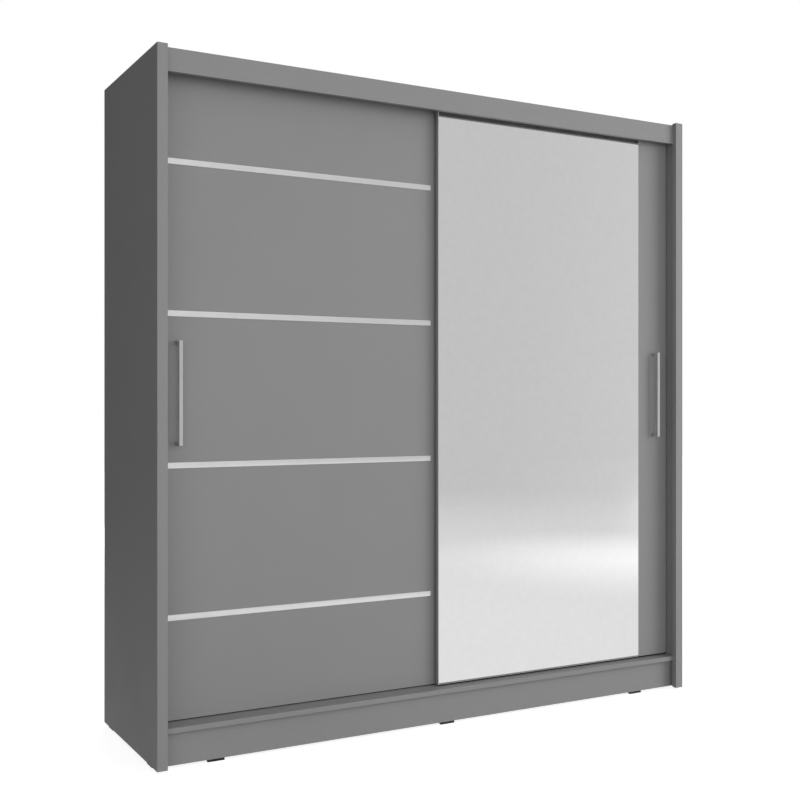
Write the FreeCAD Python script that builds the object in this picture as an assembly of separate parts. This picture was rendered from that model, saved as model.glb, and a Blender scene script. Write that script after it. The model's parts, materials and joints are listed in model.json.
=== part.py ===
import FreeCAD, Part
import os

# Two-door sliding wardrobe, in millimetres.
# Origin: on the floor, midway between the two sides and midway between the front
# strips and the rear of the back panel. +X is to the right of a person facing the
# doors, +Y runs from the doors towards the wall, and +Z is up.

# ---- driving dimensions: overall ----
width = 2030.0
depth = 600.0
height = 2136.0

# ---- driving dimensions: sheet materials ----
board = 16.0             # faced chipboard: top, bottom, shelves, doors, plinths
side_board = 22.0        # the two sides are thicker
hdf = 3.0                # back panels
mirror_glass = 4.0
mirror_arris = 1.0       # ground bevel round the mirror's face
edge_ease = 0.5          # small bevel on the edges that hands meet

# ---- driving dimensions: carcass ----
glide_height = 8.0
stile_width = 32.0       # the strip planted on the front edge of each side
stile_depth = 19.0
top_drop = 5.0           # the top and the fascia end this far below the sides
fascia_height = 70.0
bottom_clear = 108.0     # floor to the underside of the bottom board
plinth_setback = 19.0    # plinth face behind the bottom board's front edge
rear_plinth_inset = 30.0
interior_setback = 120.0  # front strips to the front edges of partition and shelves
nail_head = 0.8
strip_flange = 1.0       # rear flange of the strip that joins the two back panels

# ---- driving dimensions: doors ----
front_door_face = 62.0   # front strips to the face of the right door
door_pitch = 26.0        # right door's face to left door's face
door_side_gap = 2.0
door_overlap = 50.0
front_door_lift = 5.5    # each door's height over the bottom board
rear_door_lift = 3.0
door_top_z = 2085.0
door_travel = 885.0      # ends just before the left handle meets the right door's edge
mirror_width = 875.0
strips = 4
strip_width = 18.0
strip_proud = 2.5
strip_end_gap = 13.0     # trim strips end this far short of the right door's edge
strip_lowest = 436.4
strip_pitch = 458.5

# ---- driving dimensions: handles ----
handle_inset = 66.0      # door's outer edge to the middle of the handle
handle_length = 316.0
handle_centre_z = 1113.0
handle_width = 12.0
handle_bar = 10.0
handle_out = 32.0        # door face to the front of the bar
handle_ease = 1.0
handle_screw = 4.0
screw_head_radius = 4.0
screw_head = 2.0

# ---- driving dimensions: running gear ----
gear_inset = 90.0        # door edge to the middle of each wheel and guide pin
mortice_width = 10.0     # wheel carriers and pin housings are let into the doors' edges
wheel_radius = 16.0
wheel_width = 6.0
wheel_shoulder = 14.8    # radius beside the ridge that runs in the groove
wheel_room = 2.5
wheel_side_gap = 0.5
ridge_half = 1.5
ridge_tip = 0.3
ridge_dip = 0.8          # how far the ridge reaches below the rail's top face
axle_radius = 2.0
axle_clearance = 0.05
carrier_length = 52.0
carrier_height = 46.0
rail_width = 14.0        # flat rails let into the bottom board, one under each door
rail_thick = 4.0
groove_depth = 1.5
channel_width = 10.0
channel_wall = 1.5
channel_web = 2.0
channel_depth = 18.0
pin_guide_radius = 3.5
pin_crown = 1.2
pin_guide_length = 57.0
pin_guide_top = 21.0     # how far the sprung pin stands above the door
pin_press = 12.0         # how far it can be pressed down to free the door
pin_spare = 4.0          # room left for the closed spring under the pressed pin
housing_length = 28.0
housing_height = 58.0
stop_gap = 0.5           # guide pin to rubber stop at each end of the run
stop_length = 20.0
stop_height = 14.0

# ---- driving dimensions: interior ----
left_shelves = 4
shelf_side_gap = 1.0
shelf_back_gap = 5.0
rail_drop = 60.0         # hat shelf's underside to the middle of the hanging rail
rail_tall = 30.0
rail_wide = 15.0
rail_wall = 1.2
rail_end_gap = 3.0

# ---- positions worked out from the above ----
front = -depth / 2
rear = depth / 2
side_out = width / 2
side_in = side_out - side_board
side_mid = side_out - side_board / 2
strip_rear = rear - nail_head
hdf_rear = strip_rear - strip_flange
back_edge = hdf_rear - hdf
frame_front = front + stile_depth
floor_z = bottom_clear + board
top_z = height - top_drop
ceiling_z = top_z - board
interior_front = front + interior_setback
half_board = board / 2
plinth_front = frame_front + plinth_setback
rear_plinth_front = back_edge - rear_plinth_inset - board

door_width = side_in - door_side_gap + door_overlap / 2
axle_z = floor_z - ridge_dip + wheel_radius
front_lane = front + front_door_face + half_board
rear_lane = front_lane + door_pitch
lanes = (front_lane, rear_lane)

shelf_pitch = (ceiling_z - floor_z + board) / (left_shelves + 1)
shelf_heights = [floor_z + shelf_pitch * (n + 1) - board for n in range(left_shelves)]
hat_shelf_z = shelf_heights[-1]
hanging_z = hat_shelf_z - rail_drop
rail_y = (back_edge + interior_front) / 2

X = FreeCAD.Vector(1, 0, 0)
Y = FreeCAD.Vector(0, 1, 0)
Z = FreeCAD.Vector(0, 0, 1)


# ---- small tools ----
def save(node, shape):
    shape.exportStep("parts/" + node + ".step")


def box(x0, x1, y0, y1, z0, z1):
    return Part.makeBox(x1 - x0, y1 - y0, z1 - z0, FreeCAD.Vector(x0, y0, z0))


def rod(radius, start, direction, length):
    return Part.makeCylinder(radius, length, start, direction)


def ease_front(solid, size):
    """Bevel the edges around the face that looks at the room."""
    y = solid.BoundBox.YMin
    edges = [e for e in solid.Edges if e.BoundBox.YMax < y + 0.01]
    return solid.makeChamfer(size, edges)


def group(solids):
    return Part.makeCompound(solids)


def extrude_x(points, x0, x1):
    """Sweep a closed (y, z) outline along X."""
    corners = [FreeCAD.Vector(x0, y, z) for y, z in points]
    face = Part.Face(Part.makePolygon(corners + corners[:1]))
    return face.extrude(X * (x1 - x0))


# ---- joinery: cam fittings and dowels, with the holes they need ----
cam_radius = 7.4
cam_length = 12.8
cam_past_bolt = 4.9      # how far the barrel goes beyond the bolt's line
cam_distance = 24.0
cam_play = 0.1
bolt_radius = 3.4
bolt_thread = 2.4
bolt_grip = 10.5
bolt_bore = 4.0
dowel_radius = 3.95
dowel_hole = 4.0
hole_spare = 0.5         # extra depth of blind holes past a fitting's end

holes = {}               # board name -> cutters collected for it
cams = []
cam_bolts = []
dowels = []


def cut_in(name, cutter):
    holes.setdefault(name, []).append(cutter)


def cam_joint(edge, inward, face, held, holder):
    """One cam fitting. edge is the middle of the held board's end, inward points
    along that board, and face points out of the side that the cam is pressed into."""
    centre = edge + inward * cam_distance
    foot = centre - face * cam_past_bolt
    slot_long, slot_wide, slot_deep = 9.0, 1.6, 1.2
    cut_in(held, rod(bolt_bore, edge, inward, cam_distance))
    cut_in(held, rod(cam_radius + cam_play, foot - face * cam_play, face,
                     half_board + cam_past_bolt + cam_play))
    cut_in(holder, rod(bolt_thread + cam_play, edge, -inward, bolt_grip + hole_spare))
    barrel = rod(cam_radius, foot, face, cam_length)
    barrel = barrel.cut(rod(bolt_radius + 2 * cam_play, centre, -inward, 2 * cam_radius))
    slot = Part.makeBox(slot_long, slot_wide, slot_deep,
                        FreeCAD.Vector(-slot_long / 2, -slot_wide / 2, -slot_deep))
    slot.Placement = FreeCAD.Placement(foot + face * cam_length, FreeCAD.Rotation(Z, face))
    cams.append(barrel.cut(slot))
    bolt = rod(bolt_radius, edge, inward, cam_distance - cam_play)
    thread = rod(bolt_thread, edge - inward * bolt_grip, inward, bolt_grip)
    cam_bolts.append(bolt.fuse(thread))


def dowel_joint(edge, inward, held, holder, in_held, in_holder):
    cut_in(held, rod(dowel_hole, edge, inward, in_held + hole_spare))
    cut_in(holder, rod(dowel_hole, edge, -inward, in_holder + hole_spare))
    dowels.append(rod(dowel_radius, edge - inward * in_holder, inward, in_held + in_holder))


def end_joints():
    """The top and bottom boards between the two sides."""
    for name, z, face in (("top_panel", ceiling_z + half_board, -Z),
                          ("bottom_panel", floor_z - half_board, -Z)):
        for side, sign in (("left_side_panel", -1), ("right_side_panel", 1)):
            for y in (-176.0, 230.0):
                edge = FreeCAD.Vector(sign * side_in, y, z)
                cam_joint(edge, X * -sign, face, name, side)
            for y in (-136.0, 190.0):
                edge = FreeCAD.Vector(sign * side_in, y, z)
                dowel_joint(edge, X * -sign, name, side, 22.0, 10.0)


def partition_joints():
    for z, up, board_name in ((floor_z, Z, "bottom_panel"), (ceiling_z, -Z, "top_panel")):
        for y in (-130.0, 230.0):
            cam_joint(FreeCAD.Vector(0, y, z), up, X, "centre_partition", board_name)
        for y in (-90.0, 190.0):
            edge = FreeCAD.Vector(0, y, z)
            dowel_joint(edge, up, "centre_partition", board_name, 22.0, 10.0)


def front_strip_joints():
    """Dowels from the front strips, the fascia and the plinths."""
    for side, sign in (("left", -1), ("right", 1)):
        for z in (60.0, 560.0, 1060.0, 1560.0, 2060.0):
            edge = FreeCAD.Vector(sign * side_mid, frame_front, z)
            dowel_joint(edge, Y, side + "_side_panel", side + "_front_stile", 18.0, 12.0)
    for x in (-800.0, -400.0, 0.0, 400.0, 800.0):
        edge = FreeCAD.Vector(x, frame_front + board, ceiling_z + half_board)
        dowel_joint(edge, Y, "top_panel", "fascia", 20.0, 10.0)
        for name, y in (("front_plinth", plinth_front), ("rear_plinth", rear_plinth_front)):
            edge = FreeCAD.Vector(x + 60.0, y + half_board, bottom_clear)
            dowel_joint(edge, -Z, name, "bottom_panel", 20.0, 10.0)


# ---- carcass ----
def side_panels():
    for side, sign in (("left", -1), ("right", 1)):
        x0, x1 = sorted((sign * side_in, sign * side_out))
        panel = box(x0, x1, frame_front, back_edge, glide_height, height)
        save(side + "_side_panel", panel.cut(holes[side + "_side_panel"]))
        x0, x1 = sorted((sign * (side_out - stile_width), sign * side_out))
        stile = ease_front(box(x0, x1, front, frame_front, glide_height, height), edge_ease)
        save(side + "_front_stile", stile.cut(holes[side + "_front_stile"]))


def horizontal_boards():
    top = box(-side_in, side_in, frame_front + board, back_edge, ceiling_z, top_z)
    save("top_panel", top.cut(holes["top_panel"]))
    fascia = box(-side_in, side_in, frame_front, frame_front + board, top_z - fascia_height, top_z)
    save("fascia", ease_front(fascia, edge_ease).cut(holes["fascia"]))
    bottom = box(-side_in, side_in, frame_front, back_edge, bottom_clear, floor_z)
    for y in lanes:
        y0 = y - rail_width / 2
        groove = box(-side_in, side_in, y0, y0 + rail_width, floor_z - rail_thick, floor_z)
        cut_in("bottom_panel", groove)
    save("bottom_panel", ease_front(bottom, edge_ease).cut(holes["bottom_panel"]))


def partition():
    panel = box(-half_board, half_board, interior_front, back_edge, floor_z, ceiling_z)
    save("centre_partition", panel.cut(holes["centre_partition"]))


def plinths():
    for name, y in (("front_plinth", plinth_front), ("rear_plinth", rear_plinth_front)):
        plank = box(-side_in, side_in, y, y + board, glide_height, bottom_clear)
        save(name, plank.cut(holes[name]))
    support = box(-half_board, half_board, plinth_front + board, rear_plinth_front,
                  glide_height, bottom_clear)
    save("plinth_cross_support", support)


def back_panels():
    inset = 2.0
    low = bottom_clear + inset
    high = top_z - inset
    outer = side_out - inset
    web = 1.5
    flange = 10.0
    save("back_panel_left", box(-outer, -web, back_edge, hdf_rear, low, high))
    save("back_panel_right", box(web, outer, back_edge, hdf_rear, low, high))
    strip = box(-web, web, back_edge, hdf_rear, low, high)
    cover = box(-flange, flange, hdf_rear, strip_rear, low, high)
    save("back_joint_strip", strip.fuse(cover).removeSplitter())


def back_nails():
    """Flat-headed nails round the back panels and down the joining strip."""
    nails = []
    shank = 0.8
    head_radius = 3.0
    reach = 12.0
    low = floor_z - half_board
    high = ceiling_z + half_board
    places = [(x, z, hdf_rear) for z in (low, high) for x in range(-875, 876, 250)]
    heights = [low + (high - low) * n / 8 for n in range(1, 8)]
    places += [(x, z, hdf_rear) for z in heights for x in (-side_mid, side_mid)]
    places += [(0.0, z, strip_rear) for z in heights]
    for x, z, y in places:
        head = rod(head_radius, FreeCAD.Vector(x, y, z), Y, nail_head)
        body = rod(shank, FreeCAD.Vector(x, back_edge - reach, z), Y, y - back_edge + reach)
        nails.append(head.fuse(body))
    save("back_panel_nails", group(nails))


def floor_glides():
    """Ten low plastic blocks: two under each side and three under each plinth."""
    length = 54.0
    thick = 12.0
    corner = 2.0
    glides = []

    def glide(x, y, along_x):
        half_x = (length if along_x else thick) / 2
        half_y = (thick if along_x else length) / 2
        block = box(x - half_x, x + half_x, y - half_y, y + half_y, 0.0, glide_height)
        uprights = [e for e in block.Edges if e.BoundBox.ZLength > glide_height - 0.01]
        glides.append(block.makeFillet(corner, uprights))

    for sign in (-1, 1):
        for y in (96.0, 532.0):    # behind the front strips
            glide(sign * side_mid, front + y, False)
    for x in (-820.0, 0.0, 820.0):
        for y in (plinth_front, rear_plinth_front):
            glide(x, y + half_board, True)
    save("floor_glides", group(glides))


# ---- tracks ----
track_half = side_in - 1.0    # tracks end just short of the sides


def bottom_rails():
    """Two flat rails, flush with the board, each with one shallow vee groove."""
    low = floor_z - rail_thick
    half = rail_width / 2
    rails = []
    for y in lanes:
        outline = [(y - half, low), (y + half, low), (y + half, floor_z), (y + groove_depth, floor_z),
                   (y, floor_z - groove_depth), (y - groove_depth, floor_z), (y - half, floor_z)]
        rails.append(extrude_x(outline, -track_half, track_half))
    save("bottom_rails", group(rails))


def top_track():
    """A double channel under the top board, open downwards, one lane for each door."""
    half = channel_width / 2
    low = ceiling_z - channel_depth - channel_web
    outer_front = front_lane - half - channel_wall
    outer_rear = rear_lane + half + channel_wall
    shape = box(-track_half, track_half, outer_front, outer_rear, ceiling_z - channel_web, ceiling_z)
    for y in lanes:
        for y0 in (y - half - channel_wall, y + half):
            wall = box(-track_half, track_half, y0, y0 + channel_wall, low, ceiling_z - channel_web)
            shape = shape.fuse(wall)
    save("top_track", shape.removeSplitter().cut(track_screws()))


def track_stops():
    """Rubber blocks in the top channels, where each door's guide pins end their run."""
    reach = pin_guide_radius + stop_gap
    outer = side_in - door_side_gap - gear_inset
    inner = gear_inset - door_overlap / 2
    stops = []
    for y, sign in ((front_lane, 1), (rear_lane, -1)):
        for x in (outer + reach, inner - door_travel - reach - stop_length):
            x0, x1 = sorted((sign * x, sign * (x + stop_length)))
            stops.append(box(x0, x1, y - channel_width / 2, y + channel_width / 2,
                             ceiling_z - channel_web - stop_height, ceiling_z - channel_web))
    save("track_stops", group(stops))


def track_screws():
    """Countersunk screws between the lanes, up into the top board."""
    screws = []
    sinks = []
    head_radius = 3.5
    shank = 1.8
    play = 0.1
    grip = 12.0
    middle = (front_lane + rear_lane) / 2
    for x in range(-900, 901, 300):
        start = FreeCAD.Vector(x, middle, ceiling_z - channel_web)
        head = Part.makeCone(head_radius, shank, channel_web, start, Z)
        screws.append(head.fuse(rod(shank, start + Z * channel_web, Z, grip)))
        sinks.append(Part.makeCone(head_radius + play, shank + play, channel_web, start, Z))
    save("track_screws", group(screws))
    return sinks


# ---- interior ----
pin_radius = 2.5
pin_head = 4.0
pin_grip = 9.0
shelf_setback = 8.0      # shelf fronts behind the partition's front edge


def shelves():
    y0 = interior_front + shelf_setback
    y1 = back_edge - shelf_back_gap
    left = (-side_in + shelf_side_gap, -half_board - shelf_side_gap)
    for n, z in enumerate(shelf_heights):
        shelf = box(left[0], left[1], y0, y1, z, z + board)
        save("left_shelf_%d" % (n + 1), ease_front(shelf, edge_ease))
    hat = box(half_board + shelf_side_gap, side_in - shelf_side_gap, y0, y1, hat_shelf_z, hat_shelf_z + board)
    save("hat_shelf", ease_front(hat, edge_ease))


def pin_places():
    """(x of the wall, direction out of the wall, wall's name, height) for every pin."""
    places = []
    for z in shelf_heights:
        places.append((-side_in, 1, "left_side_panel", z))
        places.append((-half_board, -1, "centre_partition", z))
    places.append((side_in, -1, "right_side_panel", hat_shelf_z))
    places.append((half_board, 1, "centre_partition", hat_shelf_z))
    return places


def shelf_pins():
    """Round pins with a thicker end that the shelf lies on, and their holes."""
    pins = []
    stem = 7.0
    for x, out, wall, z in pin_places():
        for y in (-110.0, 220.0):
            start = FreeCAD.Vector(x, y, z - pin_head)
            cut_in(wall, rod(pin_radius + axle_clearance, start, X * -out, stem + hole_spare))
            pin = rod(pin_radius, start, X * -out, stem)
            pins.append(pin.fuse(rod(pin_head, start, X * out, pin_grip)))
    save("shelf_pins", group(pins))


def oval_outline(half_tall, half_wide, x):
    """An upright oval in the plane of constant x: two half rounds and two flats."""
    y = rail_y
    straight = half_tall - half_wide
    top = hanging_z + straight
    low = hanging_z - straight
    right_up = FreeCAD.Vector(x, y + half_wide, top)
    left_up = FreeCAD.Vector(x, y - half_wide, top)
    left_low = FreeCAD.Vector(x, y - half_wide, low)
    right_low = FreeCAD.Vector(x, y + half_wide, low)
    crown = FreeCAD.Vector(x, y, top + half_wide)
    foot = FreeCAD.Vector(x, y, low - half_wide)
    wire = Part.Wire([Part.Arc(right_up, crown, left_up).toShape(),
                      Part.LineSegment(left_up, left_low).toShape(),
                      Part.Arc(left_low, foot, right_low).toShape(),
                      Part.LineSegment(right_low, right_up).toShape()])
    return Part.Face(wire)


def oval_bar(half_tall, half_wide, x0, x1):
    return oval_outline(half_tall, half_wide, x0).extrude(X * (x1 - x0))


def hanging_rail():
    x0 = half_board + rail_end_gap
    x1 = side_in - rail_end_gap
    outer = oval_bar(rail_tall / 2, rail_wide / 2, x0, x1)
    inner = oval_bar(rail_tall / 2 - rail_wall, rail_wide / 2 - rail_wall, x0, x1)
    save("hanging_rail", outer.cut(inner))


def rail_end_sockets():
    """A plate on each wall with a cup that the rail drops into from above."""
    sockets = []
    plate = 2.5
    plate_taller = 8.0
    plate_wider = 6.0
    cup = 14.0
    lip = 2.0
    gap = 0.3
    for wall, out in ((half_board, 1), (side_in, -1)):
        base = oval_bar(rail_tall / 2 + plate_taller, rail_wide / 2 + plate_wider,
                        wall, wall + out * plate)
        body = oval_bar(rail_tall / 2 + lip, rail_wide / 2 + lip, wall, wall + out * cup)
        x0, x1 = sorted((wall + out * plate, wall + out * (cup + 1.0)))
        bore = oval_bar(rail_tall / 2 + gap, rail_wide / 2 + gap, x0, x1)
        mouth = box(x0, x1, rail_y - rail_wide / 2 - gap, rail_y + rail_wide / 2 + gap,
                    hanging_z, hanging_z + rail_tall)
        sockets.append(base.fuse(body).cut([bore, mouth]).removeSplitter())
    save("rail_end_sockets", group(sockets))


# ---- doors ----
def door_numbers(side):
    """Face, left and right edges, bottom and outward sign of one door."""
    outer = side_in - door_side_gap
    inner = door_width - outer
    if side == "left":
        return front + front_door_face + door_pitch, -outer, inner, floor_z + rear_door_lift, -1
    return front + front_door_face, -inner, outer, floor_z + front_door_lift, 1


def door_handle(side):
    """A square bar on two square legs, with a blind screw hole in each leg."""
    face, x0, x1, _, sign = door_numbers(side)
    x = (x0 if sign < 0 else x1) - sign * handle_inset
    half = handle_width / 2
    low = handle_centre_z - handle_length / 2
    high = handle_centre_z + handle_length / 2
    y0 = face - handle_out
    bar = box(x - half, x + half, y0, y0 + handle_bar, low, high)
    legs = [box(x - half, x + half, y0 + handle_bar, face, z, z + handle_width)
            for z in (low, high - handle_width)]
    handle = bar.fuse(legs).removeSplitter()
    handle = ease_front(handle, handle_ease)
    places = [FreeCAD.Vector(x, face, z) for z in (low + half, high - half)]
    radius = handle_screw / 2
    reach = 9.0
    screws = []
    for place in places:
        handle = handle.cut(rod(radius + axle_clearance, place, -Y, reach + hole_spare))
        shank = rod(radius, place - Y * reach, Y, reach + board)
        screws.append(shank.fuse(rod(screw_head_radius, place + Y * board, Y, screw_head)))
    save(side + "_door_handle", handle)
    save(side + "_door_handle_screws", group(screws))
    return [rod(radius + 2 * cam_play, place, Y, board) for place in places]


def gear_places(side):
    _, x0, x1, _, _ = door_numbers(side)
    return x0 + gear_inset, x1 - gear_inset


def door_panel(side):
    """The board, with mortices in its bottom edge for the wheels and in its top edge
    for the guide pins, and clearance holes for the handle's screws."""
    face, x0, x1, low, _ = door_numbers(side)
    panel = ease_front(box(x0, x1, face, face + board, low, door_top_z), edge_ease)
    y0 = face + half_board - mortice_width / 2
    y1 = y0 + mortice_width
    cutters = door_handle(side)
    for x in gear_places(side):
        half = carrier_length / 2
        cutters.append(box(x - half, x + half, y0, y1, low, low + carrier_height))
        half = housing_length / 2
        cutters.append(box(x - half, x + half, y0, y1, door_top_z - housing_height, door_top_z))
    save(side + "_door_panel", panel.cut(cutters))


def trim_strips():
    face, x0, _, _, _ = door_numbers("left")
    right_door_edge = door_numbers("right")[1]
    x1 = right_door_edge - strip_end_gap
    for n in range(strips):
        z = strip_lowest + strip_pitch * n
        strip = box(x0, x1, face - strip_proud, face, z - strip_width / 2, z + strip_width / 2)
        save("left_door_strip_%d" % (n + 1), ease_front(strip, edge_ease))


def mirror():
    face, x0, _, low, _ = door_numbers("right")
    sheet = box(x0, x0 + mirror_width, face - mirror_glass, face, low, door_top_z)
    save("right_door_mirror", ease_front(sheet, mirror_arris))


def wheel(x, lane):
    """A nylon wheel bored for its axle, with a blunt ridge round its middle that
    runs in the rail's groove. Its outline is turned about the axle's line."""
    half = wheel_width / 2
    bore = axle_radius + axle_clearance
    outline = [(bore, -half), (wheel_shoulder, -half), (wheel_shoulder, -ridge_half),
               (wheel_radius, -ridge_tip), (wheel_radius, ridge_tip),
               (wheel_shoulder, ridge_half), (wheel_shoulder, half), (bore, half)]
    corners = [FreeCAD.Vector(x + r, lane + y, axle_z) for r, y in outline]
    face = Part.Face(Part.makePolygon(corners + corners[:1]))
    return face.revolve(FreeCAD.Vector(x, lane, axle_z), Y, 360)


def wheel_carrier(x, lane, low):
    """A block let into the door's bottom edge, slotted for the wheel."""
    half = carrier_length / 2
    y0 = lane - mortice_width / 2
    block = box(x - half, x + half, y0, y0 + mortice_width, low, low + carrier_height)
    room = wheel_radius + wheel_room
    beside = wheel_width / 2 + wheel_side_gap
    slot = box(x - room, x + room, lane - beside, lane + beside, low, axle_z + room)
    return block.cut([slot, rod(axle_radius, FreeCAD.Vector(x, y0, axle_z), Y, mortice_width)])


def pin_housing(x, lane):
    """A block let into the door's top edge, bored for the sprung guide pin."""
    half = housing_length / 2
    y0 = lane - mortice_width / 2
    block = box(x - half, x + half, y0, y0 + mortice_width, door_top_z - housing_height, door_top_z)
    depth = pin_guide_length - pin_guide_top + pin_press + pin_spare
    start = FreeCAD.Vector(x, lane, door_top_z - depth)
    return block.cut(rod(pin_guide_radius + axle_clearance, start, Z, depth))


def guide_pin(x, lane):
    top = door_top_z + pin_guide_top
    pin = rod(pin_guide_radius, FreeCAD.Vector(x, lane, top - pin_guide_length), Z, pin_guide_length)
    crown = [e for e in pin.Edges if e.BoundBox.ZMin > top - 0.01]
    return pin.makeFillet(pin_crown, crown)


def running_gear(side):
    low = door_numbers(side)[3]
    lane = rear_lane if side == "left" else front_lane
    axles = []
    for n, x in enumerate(gear_places(side)):
        tag = "_%d" % (n + 1)
        save(side + "_door_wheel" + tag, wheel(x, lane))
        save(side + "_door_wheel_carrier" + tag, wheel_carrier(x, lane, low))
        save(side + "_door_pin_housing" + tag, pin_housing(x, lane))
        save(side + "_door_guide_pin" + tag, guide_pin(x, lane))
        start = FreeCAD.Vector(x, lane - mortice_width / 2, axle_z)
        axles.append(rod(axle_radius, start, Y, mortice_width))
    save(side + "_door_axles", group(axles))


def main():
    os.makedirs("parts", exist_ok=True)
    end_joints()
    partition_joints()
    front_strip_joints()
    shelf_pins()
    side_panels()
    horizontal_boards()
    partition()
    plinths()
    back_panels()
    back_nails()
    floor_glides()
    bottom_rails()
    top_track()
    track_stops()
    shelves()
    hanging_rail()
    rail_end_sockets()
    save("cam_locks", group(cams))
    save("cam_bolts", group(cam_bolts))
    save("wooden_dowels", group(dowels))
    trim_strips()
    mirror()
    for side in ("left", "right"):
        door_panel(side)
        running_gear(side)


main()
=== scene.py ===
import json
import math

import bmesh
import bpy
import numpy as np
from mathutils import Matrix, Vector


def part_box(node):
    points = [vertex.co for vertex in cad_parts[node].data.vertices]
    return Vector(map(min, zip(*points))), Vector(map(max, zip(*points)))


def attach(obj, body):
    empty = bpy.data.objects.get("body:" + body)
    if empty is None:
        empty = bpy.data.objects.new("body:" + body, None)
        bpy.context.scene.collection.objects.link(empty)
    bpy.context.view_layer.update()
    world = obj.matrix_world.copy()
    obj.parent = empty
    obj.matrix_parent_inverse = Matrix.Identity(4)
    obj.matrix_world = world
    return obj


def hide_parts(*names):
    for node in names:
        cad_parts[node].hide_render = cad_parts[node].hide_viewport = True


# Sliding door wardrobe: finishes, small parts, studio light and camera around the packed
# frame. Lengths are metres: +X to the right of a person facing the doors, +Y towards the
# wall, +Z up.
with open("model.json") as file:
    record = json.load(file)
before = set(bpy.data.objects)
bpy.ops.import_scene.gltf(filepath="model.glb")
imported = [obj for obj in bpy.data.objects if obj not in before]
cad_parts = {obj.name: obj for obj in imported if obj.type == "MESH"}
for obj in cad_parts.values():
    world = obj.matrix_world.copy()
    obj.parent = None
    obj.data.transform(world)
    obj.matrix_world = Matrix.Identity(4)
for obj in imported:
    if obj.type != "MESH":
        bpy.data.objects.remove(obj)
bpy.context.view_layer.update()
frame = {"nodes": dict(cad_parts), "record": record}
nodes = frame["nodes"]
MM = 0.001


# ---- colour and node helpers ----
def linear(code):
    """An sRGB hex code as a linear colour with alpha 1."""
    parts = [int(code[i:i + 2], 16) / 255 for i in (1, 3, 5)]
    low = [c / 12.92 if c <= 0.04045 else ((c + 0.055) / 1.055) ** 2.4 for c in parts]
    return (*low, 1.0)


def add(tree, kind, settings=None, inputs=None):
    """Add a node, set its own settings, and give its sockets numbers or links."""
    made = tree.nodes.new(kind)
    for name, value in (settings or {}).items():
        setattr(made, name, value)
    for name, value in (inputs or {}).items():
        socket = made.inputs[name]
        if isinstance(value, bpy.types.NodeSocket):
            tree.links.new(value, socket)
        else:
            socket.default_value = value
    return made


def start_material(name):
    """A new material with one Principled shader, and where its surface points are in metres."""
    material = bpy.data.materials.new(name)
    material.use_nodes = True
    tree = material.node_tree
    tree.nodes.clear()
    shader = add(tree, "ShaderNodeBsdfPrincipled")
    add(tree, "ShaderNodeOutputMaterial", inputs={"Surface": shader.outputs[0]})
    place = add(tree, "ShaderNodeTexCoord").outputs["Object"]
    return material, tree, shader, place


def give(tree, shader, values):
    """Set or link the sockets of a shader that is already there."""
    for name, value in values.items():
        if isinstance(value, bpy.types.NodeSocket):
            tree.links.new(value, shader.inputs[name])
        else:
            shader.inputs[name].default_value = value


def noise_pattern(tree, place, size_mm, stretch=(1.0, 1.0, 1.0), detail=3.0):
    """Soft noise from 0 to 1 whose blobs are size_mm across, drawn out along each axis by
    stretch. The middle of the raw noise, 0.3 to 0.7, is widened to the whole range."""
    squeezed = add(tree, "ShaderNodeMapping", {"vector_type": "POINT"},
                   {"Vector": place, "Scale": tuple(1.0 / s for s in stretch)}).outputs[0]
    noise = add(tree, "ShaderNodeTexNoise", inputs={
        "Vector": squeezed, "Scale": 1.0 / (size_mm * MM), "Detail": detail}).outputs["Fac"]
    return add(tree, "ShaderNodeMapRange", inputs={
        "Value": noise, "From Min": 0.3, "From Max": 0.7}).outputs[0]


def coat(tree, shader, tint, polish, bumps, metal=0.0):
    """Give a shader its look. tint is a pattern and the two colours it runs between, polish
    is a pattern and two roughnesses, and bumps is a pattern and its full height in mm."""
    colour = add(tree, "ShaderNodeMix", {"data_type": "RGBA"}, {0: tint[0], 6: tint[1], 7: tint[2]})
    rough = add(tree, "ShaderNodeMapRange", inputs={
        "Value": polish[0], "To Min": polish[1], "To Max": polish[2]})
    raised = add(tree, "ShaderNodeBump", inputs={
        "Height": bumps[0], "Distance": bumps[1] * MM, "Strength": 1.0})
    give(tree, shader, {"Base Color": colour.outputs[2], "Roughness": rough.outputs[0],
                        "Normal": raised.outputs[0], "Metallic": metal})


# ---- materials ----
def melamine_grey():
    """Chipboard faced with melamine paper, pressed against a fine pearl plate: a flat
    mid grey with a low satin sheen, faint clouds in the print and a tight orange-peel relief."""
    material, tree, shader, place = start_material("melamine_faced_chipboard_grey")
    clouds = noise_pattern(tree, place, 180.0)
    specks = noise_pattern(tree, place, 2.5, detail=2.0)
    # The pressed pearl is 0.8 mm across on the real board; it is drawn twice as coarse to show.
    pearl = noise_pattern(tree, place, 1.6, detail=1.0)
    cloudy = add(tree, "ShaderNodeMix", {"data_type": "RGBA"}, {
        0: clouds, 6: linear("#8c8c8c"), 7: linear("#909090")}).outputs[2]
    coat(tree, shader, (specks, linear("#898989"), cloudy), (clouds, 0.46, 0.54), (pearl, 0.012))
    return material


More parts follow.
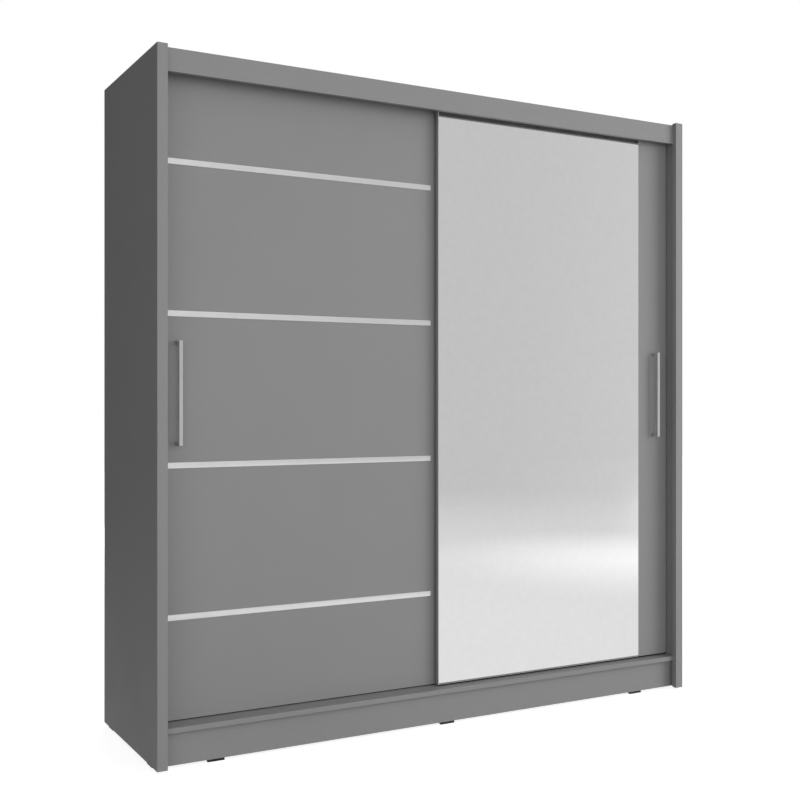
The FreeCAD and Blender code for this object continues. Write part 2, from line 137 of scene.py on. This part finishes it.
def hardboard():
    """Thin fibreboard painted grey inside and left bare behind: brown felted fibre with
    the square print of the pressing mesh."""
    material, tree, shader, place = start_material("hardboard_painted_one_side")
    spot = add(tree, "ShaderNodeSeparateXYZ", inputs={0: place})
    bare = add(tree, "ShaderNodeMath", {"operation": "GREATER_THAN"},
               {0: spot.outputs["Y"], 1: BACK_MIDDLE}).outputs[0]
    fibre = noise_pattern(tree, place, 3.0, (4.0, 1.0, 1.0))
    brown = add(tree, "ShaderNodeMix", {"data_type": "RGBA"}, {
        0: fibre, 6: linear("#7a5e43"), 7: linear("#8f7154")}).outputs[2]
    paint = add(tree, "ShaderNodeMix", {"data_type": "RGBA"}, {
        0: fibre, 6: linear("#8c8c8c"), 7: linear("#909090")}).outputs[2]
    mesh = add(tree, "ShaderNodeTexVoronoi", {"distance": "CHEBYCHEV"},
               {"Vector": place, "Scale": 1.0 / (2.0 * MM), "Randomness": 0.0}).outputs["Distance"]
    coat(tree, shader, (bare, paint, brown), (fibre, 0.62, 0.8), (mesh, 0.05))
    return material


def satin_aluminium(name, pale, dark, along, rough):
    """Aluminium brushed along its length and clear anodised: a soft bright metal whose
    fine lines run the way it was brushed."""
    material, tree, shader, place = start_material(name)
    # Brushed lines are about 0.1 mm apart; they are drawn 0.5 mm apart to show.
    lines = noise_pattern(tree, place, 0.5, along, 2.0)
    cloud = noise_pattern(tree, place, 60.0)
    coat(tree, shader, (cloud, linear(dark), linear(pale)), (lines, rough - 0.04, rough + 0.04),
         (lines, 0.0016), metal=1.0)
    return material


def mirror_glass():
    """Silvered float glass: a clean, neutral reflection, and ground greenish edges where
    the sheet's thickness shows."""
    material, tree, shader, place = start_material("silvered_float_glass")
    spot = add(tree, "ShaderNodeSeparateXYZ", inputs={0: place})
    edge = add(tree, "ShaderNodeMath", {"operation": "GREATER_THAN"},
               {0: spot.outputs["Y"], 1: MIRROR_FACE + 0.02 * MM}).outputs[0]
    haze = noise_pattern(tree, place, 25.0)
    silver = add(tree, "ShaderNodeMix", {"data_type": "RGBA"}, {
        0: haze, 6: linear("#f6f6f6"), 7: linear("#f9f9f9")}).outputs[2]
    colour = add(tree, "ShaderNodeMix", {"data_type": "RGBA"}, {
        0: edge, 6: silver, 7: linear("#e9eeec")}).outputs[2]
    polished = add(tree, "ShaderNodeMapRange", inputs={
        "Value": haze, "To Min": 0.012, "To Max": 0.02}).outputs[0]
    ground = add(tree, "ShaderNodeMapRange", inputs={
        "Value": noise_pattern(tree, place, 1.0), "To Min": 0.34, "To Max": 0.46}).outputs[0]
    rough = add(tree, "ShaderNodeMix", {"data_type": "FLOAT"}, {0: edge, 2: polished, 3: ground})
    metal = add(tree, "ShaderNodeMath", {"operation": "SUBTRACT"}, {0: 1.0, 1: edge})
    give(tree, shader, {"Base Color": colour, "Metallic": metal.outputs[0], "Roughness": rough.outputs[0]})
    return material


def moulded_plastic(name, pale, dark, rough, size_mm):
    """Injection-moulded plastic with a fine spark-eroded texture from the tool."""
    material, tree, shader, place = start_material(name)
    spark = noise_pattern(tree, place, size_mm, detail=2.0)
    tone = noise_pattern(tree, place, 8.0)
    coat(tree, shader, (tone, linear(dark), linear(pale)), (spark, rough - 0.05, rough + 0.05),
         (spark, 0.008))
    return material


def plated_steel(name, pale, dark, rough):
    """Turned or pressed steel with thin zinc plate: bright, a little blue, faintly clouded."""
    material, tree, shader, place = start_material(name)
    cloud = noise_pattern(tree, place, 1.5)
    fine = noise_pattern(tree, place, 0.4)
    coat(tree, shader, (cloud, linear(dark), linear(pale)), (fine, rough - 0.06, rough + 0.06),
         (fine, 0.0024), metal=1.0)
    return material


def chrome_tube():
    """Steel tube with polished chrome: a hard mirror shine with faint drawing lines."""
    material, tree, shader, place = start_material("chromed_steel_tube")
    lines = noise_pattern(tree, place, 0.5, (60.0, 1.0, 1.0), 2.0)
    coat(tree, shader, (lines, linear("#dcdee0"), linear("#e6e8ea")), (lines, 0.06, 0.12),
         (lines, 0.0008), metal=1.0)
    return material


def beech():
    """Bare turned beech: warm pale brown with short darker flecks along the grain."""
    material, tree, shader, place = start_material("beech_dowel")
    flecks = noise_pattern(tree, place, 0.8, (4.0, 4.0, 4.0))
    coat(tree, shader, (flecks, linear("#b88f68"), linear("#d0ab84")), (flecks, 0.55, 0.7),
         (flecks, 0.016))
    return material


def pile():
    """Black polypropylene pile: matt, nearly black, streaked up and down by its hairs."""
    material, tree, shader, place = start_material("black_pile_seal")
    # Real hairs are 0.1 mm; they are drawn 0.6 mm across to show.
    hairs = noise_pattern(tree, place, 0.6, (1.0, 1.0, 20.0), 2.0)
    coat(tree, shader, (hairs, linear("#070707"), linear("#161616")), (hairs, 0.8, 0.9), (hairs, 0.06))
    return material


MIRROR_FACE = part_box("right_door_mirror")[0].y
back_low, back_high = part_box("back_panel_left")
BACK_MIDDLE = (back_low.y + back_high.y) / 2

ALONG_X = (80.0, 1.0, 1.0)
ALONG_Z = (1.0, 1.0, 80.0)
finishes = {
    "grey_board": melamine_grey(),
    "grey_hardboard": hardboard(),
    "grey_plastic": moulded_plastic("abs_grey_extruded", "#868686", "#808080", 0.45, 1.0),
    "steel_fasteners": plated_steel("zinc_plated_steel", "#d6d9dd", "#bfc3c8", 0.32),
    "cast_zinc": plated_steel("die_cast_zinc", "#bcbfc3", "#a6a9ad", 0.45),
    "mill_aluminium": satin_aluminium("mill_finish_aluminium", "#dcdddf", "#cfd0d3", ALONG_X, 0.38),
    "rubber_stops": moulded_plastic("soft_rubber", "#1d1d1e", "#151516", 0.8, 0.8),
    "chromed_tube": chrome_tube(),
    "beech_dowel": beech(),
    "black_plastic": moulded_plastic("polypropylene_black", "#101010", "#0b0b0b", 0.5, 0.8),
    "satin_strip": satin_aluminium("anodised_aluminium_strip", "#f6f6f6", "#f1f1f1", ALONG_X, 0.22),
    "satin_handle": satin_aluminium("anodised_aluminium_handle", "#dedede", "#d7d7d7", ALONG_Z, 0.36),
    "mirror_glass": mirror_glass(),
    "moulded_carrier": moulded_plastic("nylon_grey_moulded", "#5a5b5e", "#525356", 0.5, 0.8),
    "nylon": moulded_plastic("nylon_natural", "#e4e1d8", "#dad6cb", 0.4, 0.8),
}
for part in frame["record"]["subparts"]:
    mesh = nodes[part["node"]].data
    mesh.materials.clear()
    mesh.materials.append(finishes[part["material_slot"]])


# ---- small parts ----
HANDLE_BAR = 10.0 * MM    # how thick the handle's bar is, front to back


def add_piece(name, points, faces, material, body):
    """Put a mesh with its place in its points into the scene, on a body."""
    mesh = bpy.data.meshes.new(name)
    mesh.from_pydata(np.asarray(points, float).tolist(), [], faces)
    mesh.update()
    made = bpy.data.objects.new(name, mesh)
    bpy.context.scene.collection.objects.link(made)
    mesh.materials.append(material)
    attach(made, body)
    return made


def tube_faces(around, along):
    """Quads between the rings of a closed tube, and one face over each end ring."""
    ring = np.arange(around)[None, :]
    start = np.arange(along - 1)[:, None] * around
    a = start + ring
    b = start + (ring + 1) % around
    sides = np.stack([a, b, b + around, a + around], 2).reshape(-1, 4).tolist()
    first = ring[0][::-1].tolist()
    last = (ring[0] + (along - 1) * around).tolist()
    return sides + [first, last]


def rounded_section(radius, half_u, half_v, corner_steps):
    """A closed rounded rectangle: each corner is a quarter circle of that radius,
    (half - radius + radius cos t, half - radius + radius sin t), turned to its corner."""
    t = np.linspace(0.0, np.pi / 2, corner_steps)
    arc_u = half_u - radius + radius * np.cos(t)
    arc_v = half_v - radius + radius * np.sin(t)
    u = np.concatenate([arc_u, -arc_u[::-1], -arc_u, arc_u[::-1]])
    v = np.concatenate([arc_v, arc_v[::-1], -arc_v, -arc_v[::-1]])
    return u, v


def smooth_flats(mesh, degrees):
    """Shade a mesh smoothly, but keep a crease wherever it turns by more than so many degrees."""
    mesh.shade_smooth()
    mesh.set_sharp_from_angle(angle=math.radians(degrees))


def outward(made):
    """Recalculate a closed mesh's normals so that they all point out."""
    shell = bmesh.new()
    shell.from_mesh(made.data)
    bmesh.ops.recalc_face_normals(shell, faces=shell.faces)
    shell.to_mesh(made.data)
    shell.free()


def bar_handle(side):
    """A square bar handle as one section swept along its U-shaped middle line. The section
    is a rounded rectangle; across the line it runs from the inside of the U, s = -1, to the
    outside, s = 1, and at each corner it is cut along the mitre, so a point is
    (x + u, middle of bar - s * half bar, end of bar +- s * half leg)."""
    low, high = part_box(side + "_door_handle")
    middle_x = (low.x + high.x) / 2
    half_width = (high.x - low.x) / 2
    half_bar = HANDLE_BAR / 2
    half_leg = half_width
    bar_y = low.y + half_bar
    u, v = rounded_section(1.2 * MM, half_width, half_leg, 6)
    s = v / half_leg
    foot = high.y
    rings = []
    for end, sign in ((low.z + half_leg, -1.0), (high.z - half_leg, 1.0)):
        at_foot = np.stack([middle_x + u, np.full_like(u, foot), end + sign * s * half_leg], 1)
        corner = np.stack([middle_x + u, bar_y - s * half_bar, end + sign * s * half_leg], 1)
        rings.append((at_foot, corner))
    (foot_low, corner_low), (foot_high, corner_high) = rings
    shares = np.array([0.02, 0.98])[:, None, None]
    on_low = foot_low + shares * (corner_low - foot_low)
    on_bar = corner_low + shares * 0.5 * (corner_high - corner_low)
    on_high = corner_high + shares * (foot_high - corner_high)
    stations = np.concatenate([foot_low[None], on_low, corner_low[None], on_bar,
                               corner_high[None], on_high, foot_high[None]])
    faces = tube_faces(len(u), len(stations))
    made = add_piece(side + "_door_bar_handle", stations.reshape(-1, 3), faces,
                     finishes["satin_handle"], side + "_door")
    outward(made)
    smooth_flats(made.data, 35.0)
    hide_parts(side + "_door_handle")


def trim_strip(number):
    """An extruded trim strip: its section is a rounded rectangle with 0.9 mm corners,
    drawn straight along X, and each end ring is pulled in by 0.5 mm as a filed edge is."""
    node = "left_door_strip_%d" % number
    low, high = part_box(node)
    half_y = (high.y - low.y) / 2
    half_z = (high.z - low.z) / 2
    filed = 0.5 * MM
    rows = []
    for x, inset in ((low.x, filed), (low.x + filed, 0.0), (high.x - filed, 0.0), (high.x, filed)):
        u, v = rounded_section(0.9 * MM, half_y - inset, half_z - inset, 6)
        rows.append(np.stack([np.full_like(u, x), low.y + half_y + u, low.z + half_z + v], 1))
    faces = tube_faces(len(rows[0]), len(rows))
    made = add_piece("left_door_trim_%d" % number, np.concatenate(rows), faces,
                     finishes["satin_strip"], "left_door")
    outward(made)
    smooth_flats(made.data, 35.0)
    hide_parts(node)


def pile_seal(side):
    """A brush of short stiff hairs along a door's bottom edge. Its cross-section is a
    narrow block whose lower edge rises and falls with two sine waves of unlike length,
    z = low + height * (0.06 + 0.06 sin(2 pi x / 7 mm) sin(2 pi x / 11.3 mm)), as trimmed hair does."""
    door_low, door_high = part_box(side + "_door_panel")
    y = door_low.y + 4.0 * MM
    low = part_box("bottom_panel")[1].z + 0.4 * MM
    high = door_low.z + 0.5 * MM
    x = np.linspace(door_low.x + 2.0 * MM, door_high.x - 2.0 * MM, 481)
    wave = 0.06 + 0.06 * np.sin(2 * np.pi * x / (7.0 * MM)) * np.sin(2 * np.pi * x / (11.3 * MM))
    tips = low + (high - low) * wave
    roots = np.full_like(x, high)
    half_thick = 1.2 * MM
    rows = [(-half_thick, roots), (-half_thick, tips), (half_thick, tips), (half_thick, roots)]
    points = np.stack([np.stack([x, np.full_like(x, y + dy), z], 1) for dy, z in rows], 1)
    made = add_piece(side + "_door_pile_seal", points.reshape(-1, 3), tube_faces(len(rows), len(x)),
                     black_pile, side + "_door")
    outward(made)


black_pile = pile()
for side in ("left", "right"):
    pile_seal(side)
    bar_handle(side)
for number in (1, 2, 3, 4):
    trim_strip(number)


# ---- studio ----
WHITE = (1.0, 1.0, 1.0, 1.0)
ORIGIN = (0.0, 0.0, 0.0)
PAINTED_LAMP_POOL = (3.4, -2.9, 0.0)    # the middle of the painted pool of lamp light on the floor, seen only in metal and glass
SHADOW_FLOOR = 0.85       # the least the floor shows beside the wardrobe, where no light falls
DOME_LEVEL = 0.22         # the studio's even fill, and how it grows towards each side
DOME_LEAN = (0.07, -0.12, 0.26)
# How bright the room in front looks in metal and glass, from its far left (0) to its far right (1).
ROOM_ENDS = (0.04, 1.0)
ROOM_LEVELS = ((0.35, 0.06), (0.5, 0.30), (0.60, 0.75), (0.65, 0.72), (0.75, 0.57), (0.825, 0.62),
               (0.84, 0.66), (0.88, 1.0))
FRONT_LEVEL = 0.42


def room_level(tree, across, towards):
    """The room's brightness in a direction whose shares along X and Y are across and towards,
    -1 to 1. It grows from left to right, and in front it is never darker than FRONT_LEVEL."""
    spot = add(tree, "ShaderNodeMapRange", inputs={"Value": across, "From Min": -1.0}).outputs[0]
    made = add(tree, "ShaderNodeFloatCurve", inputs={"Factor": 1.0, "Value": spot})
    curve = made.mapping.curves[0]
    curve.points[0].location = (0.0, ROOM_ENDS[0])
    curve.points[1].location = (1.0, ROOM_ENDS[1])
    for place, value in ROOM_LEVELS:
        curve.points.new(place, value)
    made.mapping.update()
    front = add(tree, "ShaderNodeMapRange", {"interpolation_type": "SMOOTHSTEP"}, {
        "Value": towards, "From Min": -0.7, "From Max": 0.1, "To Min": FRONT_LEVEL, "To Max": 0.0})
    return add(tree, "ShaderNodeMath", {"operation": "MAXIMUM"},
               {0: made.outputs[0], 1: front.outputs[0]}).outputs[0]


def ring_fade(tree, place, centre, start, end, first, last):
    """Ease from first to last between two distances from a centre."""
    away = add(tree, "ShaderNodeVectorMath", {"operation": "DISTANCE"}, {0: place, 1: centre}).outputs["Value"]
    return add(tree, "ShaderNodeMapRange", {"interpolation_type": "SMOOTHSTEP"}, {
        "Value": away, "From Min": start, "From Max": end, "To Min": first, "To Max": last}).outputs[0]


def studio_floor():
    """A wide flat sheet under the wardrobe. It shows as white, with the wardrobe's faint
    shadow. In metal and glass it shows painted light: palest near the wardrobe, painted
    darker towards the left except in front, with one painted pool of lamp light on it,
    and fading into the room far away."""
    reach = 14.0
    below = -0.5 * MM
    mesh = bpy.data.meshes.new("studio_floor")
    mesh.from_pydata([(-reach, -reach, below), (reach, -reach, below),
                      (reach, reach, below), (-reach, reach, below)], [], [(0, 1, 2, 3)])
    floor = bpy.data.objects.new("studio_floor", mesh)
    bpy.context.scene.collection.objects.link(floor)
    material = bpy.data.materials.new("matt_white_studio_floor")
    material.use_nodes = True
    tree = material.node_tree
    tree.nodes.clear()
    path = add(tree, "ShaderNodeLightPath")
    place = add(tree, "ShaderNodeTexCoord").outputs["Object"]
    spot = add(tree, "ShaderNodeSeparateXYZ", inputs={0: place})
    way = add(tree, "ShaderNodeVectorMath", {"operation": "NORMALIZE"}, {0: place}).outputs["Vector"]
    shares = add(tree, "ShaderNodeSeparateXYZ", inputs={0: way})
    # Painted shade: in metal and glass the floor is darkened towards the left, less so in front of the
    # wardrobe.
    left = add(tree, "ShaderNodeMapRange", {"interpolation_type": "SMOOTHSTEP"}, {
        "Value": spot.outputs["X"], "From Min": -2.2, "From Max": 0.2, "To Min": 0.25, "To Max": 1.0})
    front = add(tree, "ShaderNodeMapRange", {"interpolation_type": "SMOOTHSTEP"}, {
        "Value": spot.outputs["Y"], "From Min": -2.6, "From Max": -0.8, "To Min": 0.7, "To Max": 0.0})
    painted_dimming = add(tree, "ShaderNodeMath", {"operation": "MAXIMUM"},
                 {0: left.outputs[0], 1: front.outputs[0]}).outputs[0]
    # Painted light: in metal and glass the floor is palest near the wardrobe.
    near = add(tree, "ShaderNodeMath", {"operation": "MULTIPLY"}, {
        0: ring_fade(tree, place, ORIGIN, 2.0, 6.0, 0.79, 0.73), 1: painted_dimming}).outputs[0]
    base = add(tree, "ShaderNodeMix", {"data_type": "FLOAT"}, {
        0: ring_fade(tree, place, ORIGIN, 3.5, 11.0, 0.0, 1.0), 2: near,
        3: room_level(tree, shares.outputs["X"], shares.outputs["Y"])}).outputs[0]
    # A painted pool of lamp light is added to what metal and glass see of the floor; no lamp casts it.
    shine = add(tree, "ShaderNodeMath", {"operation": "ADD"}, {
        0: base, 1: ring_fade(tree, place, PAINTED_LAMP_POOL, 0.0, 1.9, 0.26, 0.0)}).outputs[0]
    plain = ring_fade(tree, place, ORIGIN, 2.5, 6.0, SHADOW_FLOOR, 1.0)
    glow = add(tree, "ShaderNodeMath", {"operation": "MULTIPLY"},
               {0: path.outputs["Is Camera Ray"], 1: plain}).outputs[0]
    seen = add(tree, "ShaderNodeEmission", inputs={"Color": WHITE, "Strength": glow})
    matt = add(tree, "ShaderNodeBsdfDiffuse", inputs={"Color": (0.40, 0.40, 0.40, 1.0)})
    direct = add(tree, "ShaderNodeAddShader", inputs={0: seen.outputs[0], 1: matt.outputs[0]})
    mirrored = add(tree, "ShaderNodeEmission", inputs={"Color": WHITE, "Strength": shine})
    both = add(tree, "ShaderNodeMixShader", inputs={
        0: path.outputs["Is Glossy Ray"], 1: direct.outputs[0], 2: mirrored.outputs[0]})
    add(tree, "ShaderNodeOutputMaterial", inputs={"Surface": both.outputs[0]})
    mesh.materials.append(material)


def studio_air():
    """White behind the object, a soft grey room in its reflections, and a low even fill."""
    world = bpy.data.worlds.new("studio_air")
    bpy.context.scene.world = world
    world.use_nodes = True
    tree = world.node_tree
    tree.nodes.clear()
    path = add(tree, "ShaderNodeLightPath")
    way = add(tree, "ShaderNodeTexCoord").outputs["Generated"]
    shares = add(tree, "ShaderNodeSeparateXYZ", inputs={0: way})
    lean = add(tree, "ShaderNodeVectorMath", {"operation": "DOT_PRODUCT"},
               {0: way, 1: DOME_LEAN}).outputs["Value"]
    fill = add(tree, "ShaderNodeMath", {"operation": "ADD", "use_clamp": True},
               {0: lean, 1: DOME_LEVEL}).outputs[0]
    mirrored = add(tree, "ShaderNodeMix", {"data_type": "FLOAT"}, {
        0: path.outputs["Is Glossy Ray"], 2: fill, 3: room_level(tree, shares.outputs["X"], shares.outputs["Y"])}).outputs[0]
    level = add(tree, "ShaderNodeMix", {"data_type": "FLOAT"}, {
        0: path.outputs["Is Camera Ray"], 2: mirrored, 3: 1.0}).outputs[0]
    sky = add(tree, "ShaderNodeBackground", inputs={"Color": WHITE, "Strength": level})
    add(tree, "ShaderNodeOutputWorld", inputs={"Surface": sky.outputs[0]})


def soft_lamp(name, place, target, size, watts):
    lamp = bpy.data.lights.new(name, "AREA")
    lamp.shape = "SQUARE"
    lamp.size = size
    lamp.energy = watts
    holder = bpy.data.objects.new(name, lamp)
    bpy.context.scene.collection.objects.link(holder)
    holder.location = place
    aim = Vector(target) - Vector(place)
    holder.rotation_euler = aim.to_track_quat("-Z", "Y").to_euler()
    holder.visible_glossy = False


def camera():
    """Stands a little left of the wardrobe at half its height, level, turned to the right."""
    eye = bpy.data.cameras.new("camera")
    eye.sensor_width = 36.0
    eye.lens = 51.14
    eye.shift_y = 0.0005
    holder = bpy.data.objects.new("camera", eye)
    bpy.context.scene.collection.objects.link(holder)
    holder.location = (-2.0055, -3.5345, 1.0911)
    holder.rotation_euler = (math.radians(90.0), 0.0, -math.radians(29.0825))
    bpy.context.scene.camera = holder


studio_floor()
studio_air()
soft_lamp("right_light", (4.9, -4.4, 2.3), (0.3, 0.0, 1.0), 4.5, 177.0)
soft_lamp("front_light", (-0.3, -6.5, 1.6), (0.3, 0.0, 1.0), 4.0, 110.0)
soft_lamp("left_light", (-4.5, -4.5, 1.6), (0.3, 0.0, 1.0), 4.0, 58.0)
soft_lamp("rear_light", (1.6, 6.0, 2.4), (0.3, 0.0, 1.0), 3.0, 225.0)
camera()
bpy.context.scene.view_settings.view_transform = "Standard"
